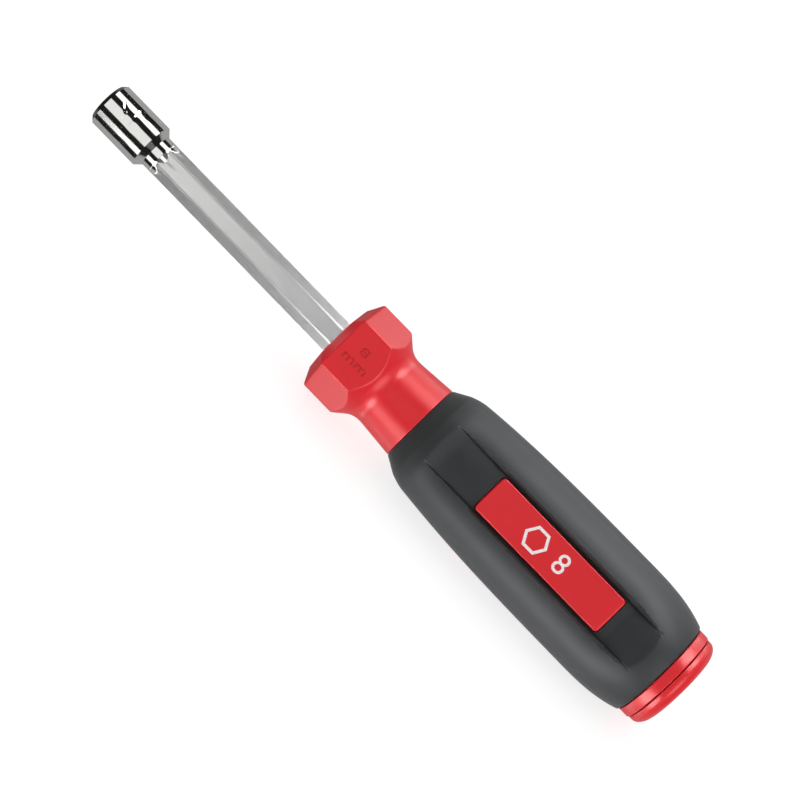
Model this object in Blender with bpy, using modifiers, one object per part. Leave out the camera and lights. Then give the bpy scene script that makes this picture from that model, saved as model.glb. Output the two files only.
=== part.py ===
"""Magnetic nut driver with a hollow hexagonal shaft and a three-lobed two-colour handle.

Every piece is modelled in tool space: Z runs along the shaft from the socket's mouth at Z = 0 to the end
cap, and +X points at the middle of one of the grip's three label channels. The parent empty then lays the
tool down with its axis along world X, resting on the grip with that channel underneath.
"""

import math

import bmesh
import bpy
from mathutils import Matrix

MM = 0.001

# Fits
SEAT_GAP = 0.3 * MM

# Socket head
NUT_ACROSS_FLATS = 8.1 * MM
SOCKET_DIAMETER = 11.8 * MM
SOCKET_LENGTH = 16.7 * MM
NOSE_CHAMFER = 1.0 * MM
MOUTH_CHAMFER = 0.3 * MM
SOCKET_REAR_RADIUS = 4.35 * MM
SOCKET_REAR_TAPER = 1.7 * MM
NUT_DEPTH = 8.0 * MM
CRIMP_DEPTH = 0.16 * MM
CRIMP_WIDTH = 1.6 * MM

# Magnet and its retaining washer
RETAINER_THICKNESS = 0.6 * MM
MAGNET_THICKNESS = 2.9 * MM
MAGNET_DIAMETER = 7.5 * MM

# Hollow hexagonal shaft
SHAFT_EXPOSED = 76.2 * MM
SHAFT_ACROSS_FLATS = 7.6 * MM
SHAFT_EDGE_RADIUS = 0.9 * MM
SHAFT_BORE_RADIUS = 2.7 * MM
SPIGOT_RADIUS = 3.4 * MM
COLLAR_RADIUS = 4.15 * MM
COLLAR_LENGTH = 1.4 * MM
COLLAR_RUNOUT = 1.7 * MM
FACET_SETBACK = 0.34 * MM
RUNOUT_DEPTH = 0.17 * MM
TANG_END_COVER = 8.3 * MM
TANG_GROOVE_DEPTH = 0.4 * MM
TANG_GROOVE_WIDTH = 3.0 * MM
TANG_GROOVE_PLACES = (22.0 * MM, 52.0 * MM, 82.0 * MM)

# Splined inner core
CORE_FRONT_WALL = 4.0 * MM
CORE_REAR_ROOM = 2.55 * MM
CORE_RADIUS = 6.0 * MM
SPLINE_HEIGHT = 1.0 * MM
SPLINE_ROOT_WIDTH = 2.6 * MM
SPLINE_TIP_WIDTH = 2.0 * MM
SPLINE_COUNT = 6

# Bolster and neck
BOLSTER_FACE_RADIUS = 9.2 * MM
BOLSTER_CROWN = 0.45 * MM
BOLSTER_FRONT_TAPER = 1.7 * MM
BOLSTER_CORNER_RADIUS = 13.35 * MM
BOLSTER_FLAT_LENGTH = 8.8 * MM
BOLSTER_VALLEY_FLAT = 11.2 * MM
BOLSTER_LOBE_FLAT = 11.65 * MM
BOLSTER_REAR_TAPER = 2.9 * MM
BOLSTER_REAR_RADIUS = 10.9 * MM
NECK_RADIUS = 9.68 * MM
NECK_FILLET_LENGTH = 4.4 * MM
NECK_LENGTH = 8.9 * MM
NECK_REAR_RADIUS = 10.41 * MM

# Three-lobed grip
GRIP_LENGTH = 78.4 * MM
GRIP_BAND_LENGTH = 4.0 * MM
GRIP_BAND_RADIUS = 12.65 * MM
GRIP_SHOULDER_LENGTH = 4.2 * MM
GRIP_SHOULDER_RADIUS = 13.76 * MM
GRIP_BELLY_RADIUS = 15.5 * MM
GRIP_TAIL_LENGTH = 18.4 * MM
GRIP_TAIL_RADIUS = 13.3 * MM
LOBE_HEIGHT = 1.0 * MM
LOBE_LEAD_IN = 14.0 * MM
LOBE_COUNT = 3
GRIP_WALL_IN_CHANNEL = 1.6 * MM
GRIP_WALL_ON_LOBE = 2.6 * MM

# Label channels and pads
CHANNEL_FLOOR_DISTANCE = 12.25 * MM
CHANNEL_HALF_WIDTH = 5.6 * MM
CHANNEL_REAR_MARGIN = 14.4 * MM
CHANNEL_RUNOUT_RISE = 0.25
PAD_LENGTH = 39.2 * MM
PAD_WIDTH = 9.9 * MM
PAD_CORNER_RADIUS = 0.9 * MM
PAD_STANDS_PROUD = 0.45 * MM
PAD_FROM_GRIP_FRONT = 22.4 * MM

# Rear ring and end cap
RING_RADIUS = 12.9 * MM
RING_LENGTH = 2.6 * MM
RECESS_RADIUS = 9.3 * MM
RECESS_DEPTH = 5.9 * MM
CAP_RADIUS = 12.6 * MM
CAP_BAND = 0.8 * MM
CAP_HEIGHT = 3.5 * MM
CAP_FACE_RADIUS = 8.6 * MM
CAP_PLUG_LENGTH = 5.2 * MM
CAP_PLUG_WALL = 1.6 * MM
CAP_ROOF = 2.4 * MM

# Places along the tool, worked out from the sizes above
BOLSTER_START = SHAFT_EXPOSED
BOLSTER_FLAT_START = BOLSTER_START + BOLSTER_CROWN + BOLSTER_FRONT_TAPER
BOLSTER_FLAT_END = BOLSTER_FLAT_START + BOLSTER_FLAT_LENGTH
NECK_START = BOLSTER_FLAT_END + BOLSTER_REAR_TAPER + NECK_FILLET_LENGTH
NECK_END = NECK_START + NECK_LENGTH
GRIP_START = NECK_END + SEAT_GAP
GRIP_END = GRIP_START + GRIP_LENGTH
RING_START = GRIP_END + SEAT_GAP
RING_END = RING_START + RING_LENGTH
CAP_START = RING_END + SEAT_GAP
CAP_END = CAP_START + CAP_HEIGHT
RETAINER_START = NUT_DEPTH
MAGNET_START = RETAINER_START + RETAINER_THICKNESS + SEAT_GAP
SPIGOT_START = MAGNET_START + MAGNET_THICKNESS + SEAT_GAP
HEX_CAVITY_END = SPIGOT_START + SEAT_GAP
COLLAR_START = SOCKET_LENGTH + SEAT_GAP
COLLAR_END = COLLAR_START + COLLAR_LENGTH
RECESS_START = RING_END - RECESS_DEPTH
CORE_CAVITY_START = BOLSTER_START + CORE_FRONT_WALL
CORE_START = CORE_CAVITY_START + SEAT_GAP
CORE_END = RECESS_START - CORE_REAR_ROOM
TANG_END = CORE_END - TANG_END_COVER

# Fineness of the round shapes
ROUND_STEPS = 54
SMALL_ROUND_STEPS = 30
GRIP_POINTS_AROUND = 66
HIDDEN_POINTS_AROUND = 36
ARC_STEPS = 4
CAP_DOME_STEPS = 6

# How far a cutter reaches past what it cuts
OVERSHOOT = 1.0 * MM

VALLEY_ANGLES = [math.tau * index / LOBE_COUNT for index in range(LOBE_COUNT)]


def clear_scene():
    for scene_object in list(bpy.data.objects):
        bpy.data.objects.remove(scene_object, do_unlink=True)


def new_collection(name):
    collection = bpy.data.collections.new(name)
    bpy.context.scene.collection.children.link(collection)
    return collection


def plastic_or_metal(name, colour, roughness, metallic=0.0):
    material = bpy.data.materials.new(name)
    material.use_nodes = True
    shader = material.node_tree.nodes["Principled BSDF"]
    shader.inputs["Base Color"].default_value = (*colour, 1.0)
    shader.inputs["Roughness"].default_value = roughness
    shader.inputs["Metallic"].default_value = metallic
    material.diffuse_color = (*colour, 1.0)
    return material


def shade(mesh):
    """Smooth shading with the edges over 32 degrees kept sharp."""
    mesh.shade_smooth()
    mesh.set_sharp_from_angle(angle=math.radians(32))


def realise(shape, whole_caps=False):
    """Turn an object with modifiers, or a curve, into a plain mesh object of the same name and place.

    With whole_caps, the triangles that fill a flat outline are merged into one face at each end.
    """
    name = shape.name
    place = shape.matrix_world.copy()
    evaluated = shape.evaluated_get(bpy.context.evaluated_depsgraph_get())
    mesh = bpy.data.meshes.new_from_object(evaluated)
    bpy.data.objects.remove(shape, do_unlink=True)
    welder = bmesh.new()
    welder.from_mesh(mesh)
    bmesh.ops.remove_doubles(welder, verts=welder.verts, dist=0.001 * MM)
    if whole_caps:
        bmesh.ops.dissolve_limit(
            welder, angle_limit=math.radians(0.1), verts=welder.verts, edges=welder.edges)
    bmesh.ops.recalc_face_normals(welder, faces=welder.faces)
    welder.to_mesh(mesh)
    welder.free()
    mesh.transform(place)
    shade(mesh)
    mesh.name = name
    return bpy.data.objects.new(name, mesh)


def turned(name, profile, closed=False, steps=ROUND_STEPS):
    """Turn (radius, z) points, listed down the outer side, about Z."""
    mesh = bpy.data.meshes.new(name)
    points = [(radius, 0.0, z) for radius, z in profile]
    edges = [(index, index + 1) for index in range(len(points) - 1)]
    if closed:
        edges.append((len(points) - 1, 0))
    mesh.from_pydata(points, edges, [])
    shape = bpy.data.objects.new(name, mesh)
    bpy.context.scene.collection.objects.link(shape)
    screw = shape.modifiers.new("Turn", "SCREW")
    screw.axis = "Z"
    screw.steps = steps
    screw.render_steps = steps
    screw.use_merge_vertices = True
    screw.merge_threshold = 0.001 * MM
    screw.use_normal_calculate = True
    return realise(shape)


def prism(name, outline, depth, place=Matrix.Identity(4)):
    """A flat outline given depth: it spans 0 to depth along its own Z before it is placed."""
    curve = bpy.data.curves.new(name, "CURVE")
    curve.dimensions = "2D"
    curve.fill_mode = "BOTH"
    curve.extrude = depth / 2
    spline = curve.splines.new("POLY")
    spline.points.add(len(outline) - 1)
    for point, (x, y) in zip(spline.points, outline):
        point.co = (x, y, 0.0, 1.0)
    spline.use_cyclic_u = True
    shape = bpy.data.objects.new(name, curve)
    shape.matrix_world = place @ Matrix.Translation((0, 0, depth / 2))
    bpy.context.scene.collection.objects.link(shape)
    return realise(shape, whole_caps=True)


def hexagon_bar(name, across_flats, start, end, edge_radius=0.0):
    """A hexagonal bar along Z with flats towards the valleys, its long edges rounded where asked."""
    corner_radius = across_flats / math.sqrt(3)
    bar = bmesh.new()
    bmesh.ops.create_cone(
        bar, cap_ends=True, segments=6, radius1=corner_radius, radius2=corner_radius, depth=end - start)
    if edge_radius:
        long_edges = [edge for edge in bar.edges if abs(edge.verts[0].co.z - edge.verts[1].co.z) > OVERSHOOT]
        setback = edge_radius * math.tan(math.radians(30))
        bmesh.ops.bevel(
            bar, geom=long_edges, offset=setback, offset_type="OFFSET", segments=3, profile=0.5,
            affect="EDGES")
    bmesh.ops.translate(bar, vec=(0, 0, (start + end) / 2), verts=bar.verts)
    mesh = bpy.data.meshes.new(name)
    bar.to_mesh(mesh)
    bar.free()
    shade(mesh)
    return bpy.data.objects.new(name, mesh)


def loft(name, rings):
    """Skin a list of rings with equal point counts and close it into a ring-shaped or capped solid."""
    body = bmesh.new()
    ring_verts = [[body.verts.new(point) for point in ring] for ring in rings]
    count = len(rings[0])
    for lower, upper in zip(ring_verts, ring_verts[1:]):
        for index in range(count):
            following = (index + 1) % count
            body.faces.new((lower[index], lower[following], upper[following], upper[index]))
    body.faces.new(list(reversed(ring_verts[0])))
    body.faces.new(ring_verts[-1])
    bmesh.ops.recalc_face_normals(body, faces=body.faces)
    bmesh.ops.triangulate(body, faces=[face for face in body.faces if len(face.verts) == 4])
    mesh = bpy.data.meshes.new(name)
    body.to_mesh(mesh)
    body.free()
    shade(mesh)
    return bpy.data.objects.new(name, mesh)


def quarter_arc(centre_x, centre_y, radius, start_degrees):
    """Points of a quarter circle."""
    points = []
    for index in range(ARC_STEPS + 1):
        angle = math.radians(start_degrees + 90 * index / ARC_STEPS)
        points.append((centre_x + radius * math.cos(angle), centre_y + radius * math.sin(angle)))
    return points


def smooth_step(value):
    value = min(max(value, 0.0), 1.0)
    return value * value * (3 - 2 * value)


def hermite(share, start, end, start_slope, end_slope, span):
    """Cubic from start to end over a span, with the given slopes at its two ends."""
    square = share * share
    cube = square * share
    return (
        (2 * cube - 3 * square + 1) * start
        + (cube - 2 * square + share) * span * start_slope
        + (3 * square - 2 * cube) * end
        + (cube - square) * span * end_slope)


def grip_silhouette(z):
    """Half the grip's width as seen from the side, at a height above the grip's front end."""
    shoulder = GRIP_BAND_LENGTH + GRIP_SHOULDER_LENGTH
    belly = GRIP_LENGTH - GRIP_TAIL_LENGTH
    swell = GRIP_BELLY_RADIUS - GRIP_SHOULDER_RADIUS
    if z <= GRIP_BAND_LENGTH:
        return NECK_REAR_RADIUS + (GRIP_BAND_RADIUS - NECK_REAR_RADIUS) * z / GRIP_BAND_LENGTH
    if z <= shoulder:
        share = (z - GRIP_BAND_LENGTH) / GRIP_SHOULDER_LENGTH
        band_slope = 0.8 * (GRIP_BAND_RADIUS - NECK_REAR_RADIUS) / GRIP_BAND_LENGTH
        swell_slope = 3 * swell / (belly - shoulder)
        return hermite(
            share, GRIP_BAND_RADIUS, GRIP_SHOULDER_RADIUS, band_slope, swell_slope, GRIP_SHOULDER_LENGTH)
    if z <= belly:
        return GRIP_BELLY_RADIUS - swell * ((belly - z) / (belly - shoulder)) ** 3
    return GRIP_BELLY_RADIUS - (GRIP_BELLY_RADIUS - GRIP_TAIL_RADIUS) * ((z - belly) / GRIP_TAIL_LENGTH) ** 3


def lobe_share(z):
    """How much of the full lobe height the grip has at a height above its front end."""
    belly = GRIP_LENGTH - GRIP_TAIL_LENGTH
    rise = smooth_step(z / LOBE_LEAD_IN)
    fall = smooth_step((GRIP_LENGTH - z) / GRIP_TAIL_LENGTH) if z > belly else 1.0
    return rise * fall


def lobed_ring(mean, lobe, z, count):
    """One three-lobed ring of points; the valleys face the label channels."""
    ring = []
    for index in range(count):
        angle = math.tau * (index + 0.5) / count
        radius = mean - lobe * math.cos(LOBE_COUNT * angle)
        ring.append((radius * math.cos(angle), radius * math.sin(angle), GRIP_START + z))
    return ring


def grip_section(z):
    """Mean radius and lobe height of the grip's outside; lobes widen the side view a little."""
    lobe = LOBE_HEIGHT * lobe_share(z)
    silhouette = grip_silhouette(z)
    widening = (LOBE_COUNT * lobe) ** 2 / (2 * silhouette)
    return silhouette - widening, lobe


def body_section(z):
    """Mean radius and lobe height of the red body where the grip covers it."""
    mean, lobe = grip_section(min(max(z, 0.0), GRIP_LENGTH))
    lobe_wall = GRIP_WALL_IN_CHANNEL + (GRIP_WALL_ON_LOBE - GRIP_WALL_IN_CHANNEL) * lobe / LOBE_HEIGHT
    crest = mean + lobe - lobe_wall - SEAT_GAP
    valley = min(mean - lobe, CHANNEL_FLOOR_DISTANCE) - GRIP_WALL_IN_CHANNEL - SEAT_GAP
    return (crest + valley) / 2, (crest - valley) / 2


def grip_stations():
    """Heights of the grip's rings, closer together where its side curves more."""
    shoulder = GRIP_BAND_LENGTH + GRIP_SHOULDER_LENGTH
    belly = GRIP_LENGTH - GRIP_TAIL_LENGTH
    stations = [GRIP_BAND_LENGTH * share for share in (0.0, 0.5)]
    stations += [GRIP_BAND_LENGTH + GRIP_SHOULDER_LENGTH * index / 4 for index in range(4)]
    stations += [shoulder + (belly - shoulder) * (index / 9) ** 1.3 for index in range(9)]
    stations += [belly + GRIP_TAIL_LENGTH * (index / 7) ** 0.75 for index in range(8)]
    return stations


def hexagon_outline_bar(name, valley_distance, lobe_distance, start, end):
    """A six-sided bar whose flats stand at one distance in the valleys and another at the lobes."""
    cosine = math.cos(math.radians(60))
    sine = math.sin(math.radians(60))
    across = (lobe_distance - valley_distance * cosine) / sine
    outline = []
    for valley in VALLEY_ANGLES:
        for side in (-1, 1):
            x = valley_distance
            y = side * across
            outline.append((
                x * math.cos(valley) - y * math.sin(valley),
                x * math.sin(valley) + y * math.cos(valley)))
    return prism(name, outline, end - start, Matrix.Translation((0, 0, start)))


def spline_outline(clearance):
    """Round core outline with tapered splines, grown by a clearance."""
    inner = CORE_RADIUS + clearance
    outer = CORE_RADIUS + SPLINE_HEIGHT + clearance
    pitch = math.tau / SPLINE_COUNT
    inner_angle = math.asin((SPLINE_ROOT_WIDTH / 2 + clearance) / inner)
    outer_angle = math.asin((SPLINE_TIP_WIDTH / 2 + clearance) / outer)
    outline = []
    for index in range(SPLINE_COUNT):
        middle = pitch * index
        for radius, angle in (
                (inner, -inner_angle), (outer, -outer_angle), (outer, 0.0), (outer, outer_angle)):
            outline.append((radius * math.cos(middle + angle), radius * math.sin(middle + angle)))
        for step in range(4):
            angle = middle + inner_angle + (pitch - 2 * inner_angle) * step / 4
            outline.append((inner * math.cos(angle), inner * math.sin(angle)))
    return outline


def pad_outline(clearance):
    """Rounded rectangle of a label pad, long way first, grown by a clearance."""
    half_length = PAD_LENGTH / 2 + clearance
    half_width = PAD_WIDTH / 2 + clearance
    corner = PAD_CORNER_RADIUS + clearance
    outline = []
    for quarter, (x_sign, y_sign) in enumerate(((1, 1), (-1, 1), (-1, -1), (1, -1))):
        outline += quarter_arc(
            x_sign * (half_length - corner), y_sign * (half_width - corner), corner, 90 * quarter)
    return outline


def pad_place(valley, distance):
    """Stand an outline on a valley, its long way along the tool and its depth pointing outwards."""
    middle = GRIP_START + PAD_FROM_GRIP_FRONT + PAD_LENGTH / 2
    lay_along = Matrix((
        (0, 0, 1, distance),
        (0, 1, 0, 0),
        (-1, 0, 0, middle),
        (0, 0, 0, 1)))
    return Matrix.Rotation(valley, 4, "Z") @ lay_along


class Assembly:
    """Collects the pieces, their operands and the empty that lays the tool down."""

    def __init__(self):
        self.pieces = new_collection("nut_driver")
        self.operands = new_collection("nut_driver_cutters")
        self.axis = bpy.data.objects.new("tool_axis", None)
        self.axis.empty_display_size = 20 * MM
        self.pieces.objects.link(self.axis)

    def add_piece(self, shape, material):
        shape.data.materials.clear()
        shape.data.materials.append(material)
        shape.parent = self.axis
        self.pieces.objects.link(shape)
        return shape

    def combine(self, target, operand, operation):
        """Add a live Boolean to the target and keep its operand as a hidden guide."""
        operand.hide_render = True
        operand.display_type = "WIRE"
        if operand.name not in self.operands.objects:
            operand.parent = self.axis
            self.operands.objects.link(operand)
        boolean = target.modifiers.new(operand.name, "BOOLEAN")
        boolean.operation = operation
        boolean.solver = "EXACT"
        boolean.object = operand

    def cut(self, target, operand):
        self.combine(target, operand, "DIFFERENCE")

    def join(self, target, operand):
        self.combine(target, operand, "UNION")

    def keep_inside(self, target, operand):
        self.combine(target, operand, "INTERSECT")


def make_socket(assembly, chrome):
    radius = SOCKET_DIAMETER / 2
    crimp_middle = NUT_DEPTH + RETAINER_THICKNESS / 2
    crimp = []
    for share in (1.0, 0.5, 0.0, -0.5, -1.0):
        depth = CRIMP_DEPTH * (1 + math.cos(math.pi * share)) / 2
        crimp.append((radius - depth, crimp_middle + CRIMP_WIDTH / 2 * share))
    blank = turned("socket", [
        (0, SOCKET_LENGTH),
        (SOCKET_REAR_RADIUS, SOCKET_LENGTH),
        (radius, SOCKET_LENGTH - SOCKET_REAR_TAPER),
        *crimp,
        (radius, NOSE_CHAMFER),
        (radius - NOSE_CHAMFER, 0),
        (0, 0)])
    socket = assembly.add_piece(blank, chrome)
    assembly.cut(socket, hexagon_bar("nut_cavity", NUT_ACROSS_FLATS, -OVERSHOOT, HEX_CAVITY_END))
    mouth_radius = NUT_ACROSS_FLATS / 2 + MOUTH_CHAMFER
    assembly.cut(socket, turned("mouth_chamfer", [
        (0, NUT_ACROSS_FLATS / 2),
        (mouth_radius, 0),
        (mouth_radius, -OVERSHOOT),
        (0, -OVERSHOOT)]))
    assembly.cut(socket, turned("spigot_bore", [
        (0, SOCKET_LENGTH + OVERSHOOT),
        (SPIGOT_RADIUS + SEAT_GAP, SOCKET_LENGTH + OVERSHOOT),
        (SPIGOT_RADIUS + SEAT_GAP, HEX_CAVITY_END - OVERSHOOT),
        (0, HEX_CAVITY_END - OVERSHOOT)], steps=SMALL_ROUND_STEPS))


def make_magnet(assembly, ferrite, zinc):
    magnet = turned("magnet_ring", [
        (MAGNET_DIAMETER / 2, MAGNET_START + MAGNET_THICKNESS),
        (MAGNET_DIAMETER / 2, MAGNET_START),
        (SHAFT_BORE_RADIUS, MAGNET_START),
        (SHAFT_BORE_RADIUS, MAGNET_START + MAGNET_THICKNESS)], closed=True, steps=SMALL_ROUND_STEPS)
    assembly.add_piece(magnet, ferrite)
    washer = assembly.add_piece(hexagon_bar(
        "magnet_retainer", NUT_ACROSS_FLATS - 2 * SEAT_GAP, RETAINER_START,
        RETAINER_START + RETAINER_THICKNESS), zinc)
    assembly.cut(washer, turned("retainer_hole", [
        (0, RETAINER_START + RETAINER_THICKNESS + OVERSHOOT),
        (SHAFT_BORE_RADIUS, RETAINER_START + RETAINER_THICKNESS + OVERSHOOT),
        (SHAFT_BORE_RADIUS, RETAINER_START - OVERSHOOT),
        (0, RETAINER_START - OVERSHOOT)], steps=SMALL_ROUND_STEPS))


def groove_ring(name, place, width, floor_radius):
    """A square-section ring that cuts, or keys into, one of the tang's turned grooves."""
    outside = SHAFT_ACROSS_FLATS
    middle = BOLSTER_START + place
    return turned(name, [
        (outside, middle + width / 2),
        (outside, middle - width / 2),
        (floor_radius, middle - width / 2),
        (floor_radius, middle + width / 2)], closed=True, steps=SMALL_ROUND_STEPS)


def make_shaft(assembly, steel):
    shaft = assembly.add_piece(hexagon_bar(
        "hex_shaft", SHAFT_ACROSS_FLATS, COLLAR_END + FACET_SETBACK, TANG_END, SHAFT_EDGE_RADIUS), steel)
    runout_radius = SHAFT_ACROSS_FLATS / 2 - RUNOUT_DEPTH
    assembly.join(shaft, turned("collar_and_spigot", [
        (0, COLLAR_END + COLLAR_RUNOUT),
        (runout_radius, COLLAR_END + COLLAR_RUNOUT),
        (COLLAR_RADIUS, COLLAR_END),
        (COLLAR_RADIUS, COLLAR_START),
        (SPIGOT_RADIUS, COLLAR_START),
        (SPIGOT_RADIUS, SPIGOT_START),
        (0, SPIGOT_START)]))
    floor_radius = SHAFT_ACROSS_FLATS / 2 - TANG_GROOVE_DEPTH
    for index, place in enumerate(TANG_GROOVE_PLACES):
        assembly.cut(shaft, groove_ring(f"tang_groove_{index}", place, TANG_GROOVE_WIDTH, floor_radius))
    assembly.cut(shaft, turned("shaft_bore", [
        (0, TANG_END + OVERSHOOT),
        (SHAFT_BORE_RADIUS, TANG_END + OVERSHOOT),
        (SHAFT_BORE_RADIUS, SPIGOT_START - OVERSHOOT),
        (0, SPIGOT_START - OVERSHOOT)], steps=SMALL_ROUND_STEPS))


def make_inner_core(assembly, nylon):
    core = assembly.add_piece(prism(
        "inner_core", spline_outline(0.0), CORE_END - CORE_START, Matrix.Translation((0, 0, CORE_START))), nylon)
    bore = hexagon_bar(
        "tang_bore", SHAFT_ACROSS_FLATS + 2 * SEAT_GAP, CORE_START - OVERSHOOT, CORE_END + OVERSHOOT)
    key_radius = SHAFT_ACROSS_FLATS / 2 - TANG_GROOVE_DEPTH + SEAT_GAP
    for index, place in enumerate(TANG_GROOVE_PLACES):
        key = groove_ring(f"groove_key_{index}", place, TANG_GROOVE_WIDTH - 2 * SEAT_GAP, key_radius)
        assembly.cut(bore, key)
    assembly.cut(core, bore)


def bolster_profile():
    """The turned blank of bolster and neck, before its flats are cut."""
    rear_start = BOLSTER_FLAT_END
    rear_end = rear_start + BOLSTER_REAR_TAPER
    rear_slope = -(BOLSTER_CORNER_RADIUS - BOLSTER_REAR_RADIUS) / BOLSTER_REAR_TAPER
    neck_slope = (NECK_REAR_RADIUS - NECK_RADIUS) / NECK_LENGTH
    fillet = []
    for index in range(1, 8):
        share = index / 8
        radius = hermite(
            share, BOLSTER_REAR_RADIUS, NECK_RADIUS, rear_slope, neck_slope, NECK_FILLET_LENGTH)
        fillet.append((radius, rear_end + NECK_FILLET_LENGTH * share))
    crown = []
    for share in (1.0, 0.75, 0.5, 0.25):
        crown.append((BOLSTER_FACE_RADIUS * share, BOLSTER_START + BOLSTER_CROWN * share * share))
    outer_side = [
        (NECK_REAR_RADIUS, NECK_END),
        (NECK_RADIUS, NECK_START),
        *reversed(fillet),
        (BOLSTER_REAR_RADIUS, rear_end),
        (BOLSTER_CORNER_RADIUS, rear_start),
        (BOLSTER_CORNER_RADIUS, BOLSTER_FLAT_START)]
    return [(0, NECK_END), *outer_side, *crown, (0, BOLSTER_START)]


def make_handle_body(assembly, red):
    body = assembly.add_piece(turned("handle_body", bolster_profile()), red)
    assembly.keep_inside(body, hexagon_outline_bar(
        "bolster_flats", BOLSTER_VALLEY_FLAT, BOLSTER_LOBE_FLAT, BOLSTER_START - OVERSHOOT,
        NECK_END + OVERSHOOT))
    overlap = RING_LENGTH / 2
    stations = [-overlap, *grip_stations()[::2], GRIP_LENGTH, GRIP_LENGTH + overlap]
    stations = sorted(set(stations))
    under_grip = [lobed_ring(*body_section(z), z, HIDDEN_POINTS_AROUND) for z in stations]
    assembly.join(body, loft("body_under_grip", under_grip))
    assembly.join(body, turned("rear_ring", [
        (0, RING_END),
        (RING_RADIUS, RING_END),
        (RING_RADIUS, RING_START),
        (0, RING_START)]))
    pad_bottom = CORE_RADIUS + SPLINE_HEIGHT + 2 * SEAT_GAP
    pad_height = CHANNEL_FLOOR_DISTANCE + PAD_STANDS_PROUD - pad_bottom
    for index, valley in enumerate(VALLEY_ANGLES):
        pad = prism(f"label_pad_{index}", pad_outline(0.0), pad_height, pad_place(valley, pad_bottom))
        assembly.join(body, pad)
    assembly.cut(body, hexagon_bar(
        "shaft_hole", SHAFT_ACROSS_FLATS + 2 * SEAT_GAP, BOLSTER_START - OVERSHOOT,
        CORE_CAVITY_START + OVERSHOOT))
    assembly.cut(body, prism(
        "core_cavity", spline_outline(SEAT_GAP), RECESS_START + OVERSHOOT - CORE_CAVITY_START,
        Matrix.Translation((0, 0, CORE_CAVITY_START))))
    assembly.cut(body, turned("cap_recess", [
        (0, RING_END + OVERSHOOT),
        (RECESS_RADIUS, RING_END + OVERSHOOT),
        (RECESS_RADIUS, RECESS_START),
        (0, RECESS_START)]))


def channel_cutter(name, valley):
    """Flat-floored channel with 45 degree walls, whose floor climbs out of the grip behind the label."""
    runout_start = GRIP_LENGTH - CHANNEL_REAR_MARGIN
    top = GRIP_BELLY_RADIUS + LOBE_HEIGHT
    outside = top + OVERSHOOT
    runout = (top - CHANNEL_FLOOR_DISTANCE) / CHANNEL_RUNOUT_RISE
    rings = []
    for z, floor in (
            (-OVERSHOOT, CHANNEL_FLOOR_DISTANCE),
            (runout_start, CHANNEL_FLOOR_DISTANCE),
            (runout_start + runout, top)):
        rise = outside - floor
        rings.append([
            (floor, -CHANNEL_HALF_WIDTH, GRIP_START + z),
            (outside, -CHANNEL_HALF_WIDTH - rise, GRIP_START + z),
            (outside, CHANNEL_HALF_WIDTH + rise, GRIP_START + z),
            (floor, CHANNEL_HALF_WIDTH, GRIP_START + z)])
    cutter = loft(name, rings)
    cutter.data.transform(Matrix.Rotation(valley, 4, "Z"))
    return cutter


def make_grip(assembly, rubber):
    outside = [lobed_ring(*grip_section(z), z, GRIP_POINTS_AROUND) for z in grip_stations()]
    grip = assembly.add_piece(loft("grip_sleeve", outside), rubber)
    for index, valley in enumerate(VALLEY_ANGLES):
        assembly.cut(grip, channel_cutter(f"label_channel_{index}", valley))
    inner_stations = [-OVERSHOOT, *grip_stations()[::2], GRIP_LENGTH, GRIP_LENGTH + OVERSHOOT]
    inside = []
    for z in sorted(set(inner_stations)):
        mean, lobe = body_section(z)
        inside.append(lobed_ring(mean + SEAT_GAP, lobe, z, HIDDEN_POINTS_AROUND))
    assembly.cut(grip, loft("grip_inside", inside))
    window_bottom = CHANNEL_FLOOR_DISTANCE / 2
    window_depth = GRIP_BELLY_RADIUS + OVERSHOOT - window_bottom
    for index, valley in enumerate(VALLEY_ANGLES):
        assembly.cut(grip, prism(
            f"label_window_{index}", pad_outline(SEAT_GAP), window_depth, pad_place(valley, window_bottom)))


def make_end_cap(assembly, red):
    plug_radius = RECESS_RADIUS - SEAT_GAP
    plug_inside = plug_radius - CAP_PLUG_WALL
    dome = []
    for index in range(CAP_DOME_STEPS + 1):
        angle = math.radians(90 * index / CAP_DOME_STEPS)
        dome.append((
            CAP_FACE_RADIUS + (CAP_RADIUS - CAP_FACE_RADIUS) * math.sin(angle),
            CAP_START + CAP_BAND + (CAP_HEIGHT - CAP_BAND) * math.cos(angle)))
    cap = turned("end_cap", [
        (0, CAP_END),
        *dome,
        (CAP_RADIUS, CAP_START),
        (plug_radius, CAP_START),
        (plug_radius, CAP_START - CAP_PLUG_LENGTH),
        (plug_inside, CAP_START - CAP_PLUG_LENGTH),
        (plug_inside, CAP_END - CAP_ROOF),
        (0, CAP_END - CAP_ROOF)])
    assembly.add_piece(cap, red)


def lay_down(assembly):
    """Lay the tool along world X, centred over the origin and standing on Z = 0."""
    assembly.axis.rotation_euler = (0, math.radians(90), 0)
    bpy.context.view_layer.update()
    grip = assembly.pieces.objects["grip_sleeve"].evaluated_get(bpy.context.evaluated_depsgraph_get())
    lowest = min((grip.matrix_world @ vertex.co).z for vertex in grip.data.vertices)
    assembly.axis.location = (-CAP_END / 2, 0, -lowest)


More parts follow.
